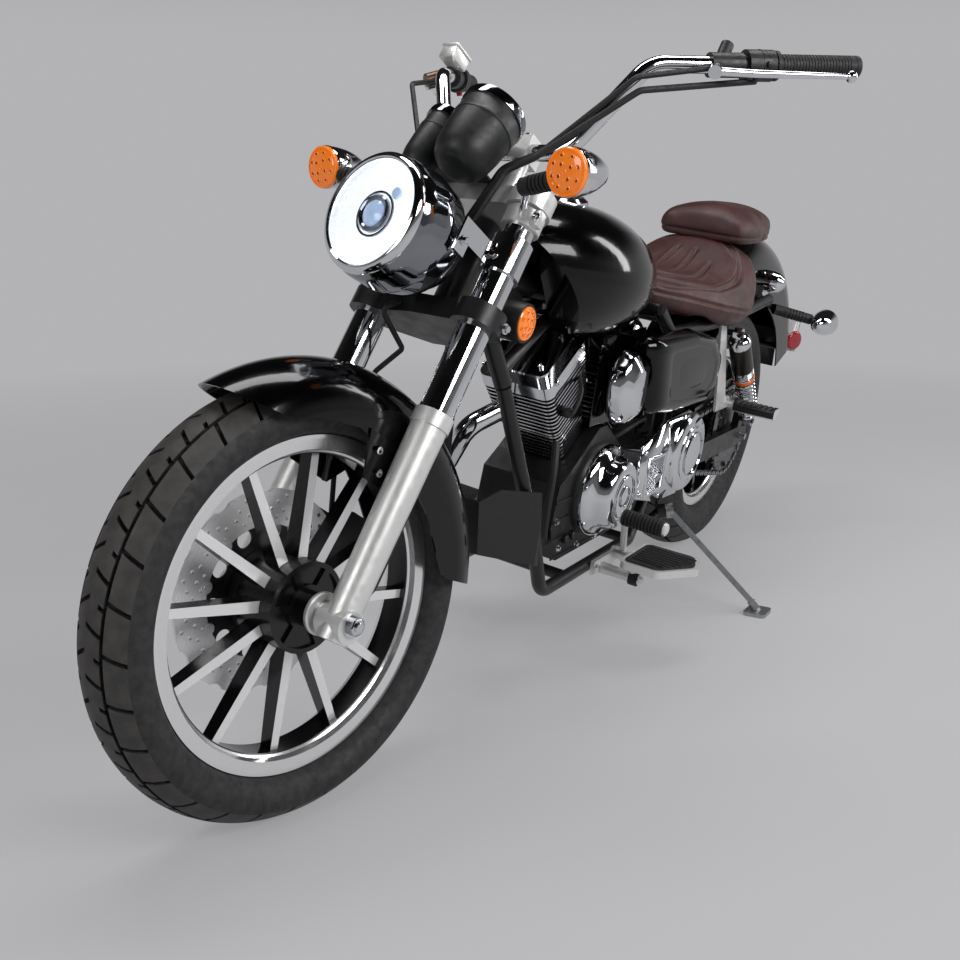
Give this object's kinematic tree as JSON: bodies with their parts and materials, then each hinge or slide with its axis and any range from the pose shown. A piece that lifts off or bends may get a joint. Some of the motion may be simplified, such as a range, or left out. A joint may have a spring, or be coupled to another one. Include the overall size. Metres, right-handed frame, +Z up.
{
  "type": "cruiser motorcycle",
  "caption": "Black cruiser motorcycle with a finned V-twin engine, cast wheels, chain drive and brown leather seat, leaning on its side stand.",
  "frame": {"origin": "bottom centre of the bounding box of the parked machine, on the floor", "axes": "+X to the front, +Y to the left side, +Z up; the machine leans to +Y on its side stand and its steering is turned a little to the right"},
  "size_m": [2.3918, 0.8864, 1.1154],
  "materials": {
    "gloss_black_paint": "gloss black paint",
    "frame_black": "satin black powder coat",
    "engine_black": "heat-proof satin black paint",
    "chrome": "mirror chrome plate",
    "cast_alloy": "satin cast alloy",
    "wheel_black": "black cast alloy with machined faces",
    "steel": "plain steel",
    "chain_steel": "oiled steel",
    "tyre": "black rubber",
    "rubber": "matt black rubber",
    "black_plastic": "textured black plastic",
    "amber_lens": "clear amber",
    "red_lens": "clear red",
    "clear_lens": "clear",
    "brown_leather": "stitched brown leather"
  },
  "bodies": {
    "chassis": {"main_frame": "frame_black", "frame_cradle": "frame_black", "engine_crankcase": "engine_black", "cylinders": "engine_black", "rocker_covers": "chrome", "engine_covers": "chrome", "exhaust_pipes": "chrome", "silencers": "chrome", "fuel_tank": "gloss_black_paint", "tank_cap": "chrome", "seat": "brown_leather", "pillion_pad": "brown_leather", "side_covers": "gloss_black_paint", "rear_fender": "gloss_black_paint", "tail_lamp": "red_lens", "plate_bracket": "frame_black", "rear_reflectors": "red_lens", "strut_caps": "chrome", "rear_signals": "amber_lens", "swingarm": "frame_black", "rear_axle": "steel", "rear_shocks": "chrome", "rear_caliper": "engine_black", "drive_chain": "chain_steel", "chain_guard": "gloss_black_paint", "foot_controls": "cast_alloy", "passenger_pegs": "chrome", "belly_panel": "black_plastic", "neck_lamps": "black_plastic"},
    "rear_wheel": {"rear_rim": "wheel_black", "rear_tyre": "tyre", "rear_sprocket": "chain_steel", "rear_disc": "steel"},
    "steering": {"fork_tubes": "chrome", "fork_sliders": "cast_alloy", "upper_clamp": "cast_alloy", "lower_clamp": "frame_black", "handlebar": "chrome", "bar_grips": "rubber", "bar_switches": "black_plastic", "bar_levers": "chrome", "cables": "rubber", "headlamp_shell": "chrome", "headlamp_lens": "clear_lens", "headlamp_brackets": "chrome", "gauge_pods": "black_plastic", "front_fender": "gloss_black_paint", "front_axle": "steel", "brake_caliper": "engine_black", "front_signals": "amber_lens"},
    "front_wheel": {"front_rim": "wheel_black", "front_tyre": "tyre", "front_disc": "steel"},
    "side_stand": {"side_stand": "steel"}
  },
  "joints": [
    {"name": "steering", "type": "hinge", "parent": "chassis", "child": "steering", "pos_m": [0.52896, -0.05274, 0.76011], "axis": [-0.5637, 0.1222, 0.8169], "range_deg": [-23.5, 46.5]},
    {"name": "front_wheel", "type": "hinge", "parent": "steering", "child": "front_wheel", "pos_m": [0.88103, -0.12677, 0.31636], "axis": [0.1648, 0.9857, -0.0337], "continuous": true},
    {"name": "rear_wheel", "type": "hinge", "parent": "chassis", "child": "rear_wheel", "pos_m": [-0.69134, -0.11944, 0.31246], "axis": [0.0002, 0.989, -0.1478], "continuous": true},
    {"name": "side_stand", "type": "hinge", "parent": "chassis", "child": "side_stand", "pos_m": [-0.21123, 0.00903, 0.21189], "axis": [-0.4171, 0.895, 0.1579], "range_deg": [0, 85]}
  ]
}
